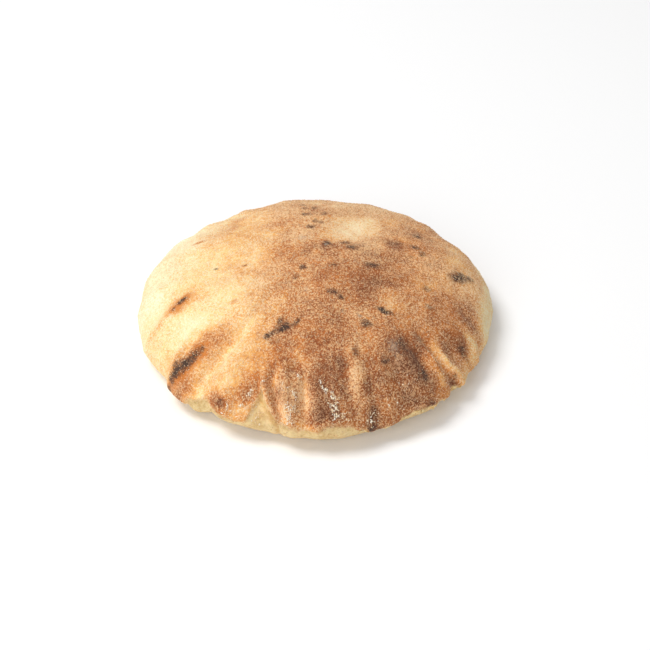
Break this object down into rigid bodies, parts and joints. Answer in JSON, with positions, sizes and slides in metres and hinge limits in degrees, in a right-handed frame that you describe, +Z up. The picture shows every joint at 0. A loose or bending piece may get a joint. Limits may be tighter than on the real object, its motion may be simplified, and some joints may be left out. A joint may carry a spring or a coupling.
{
  "type": "flatbread roll",
  "caption": "Round puffed flatbread with a low domed crust, pleats gathered into its rim, a baked seam and a flat base.",
  "frame": {"origin": "on the table, under the middle of the loaf", "axes": "+Z up through the crown; -Y towards the front, where the pleats are deepest; +X to the right"},
  "size_m": [0.15, 0.1512, 0.0399],
  "materials": {
    "crust": "dry baked bread crust, floured, browned unevenly and charred in spots"
  },
  "bodies": {
    "root": {"loaf": "crust"}
  },
  "joints": []
}
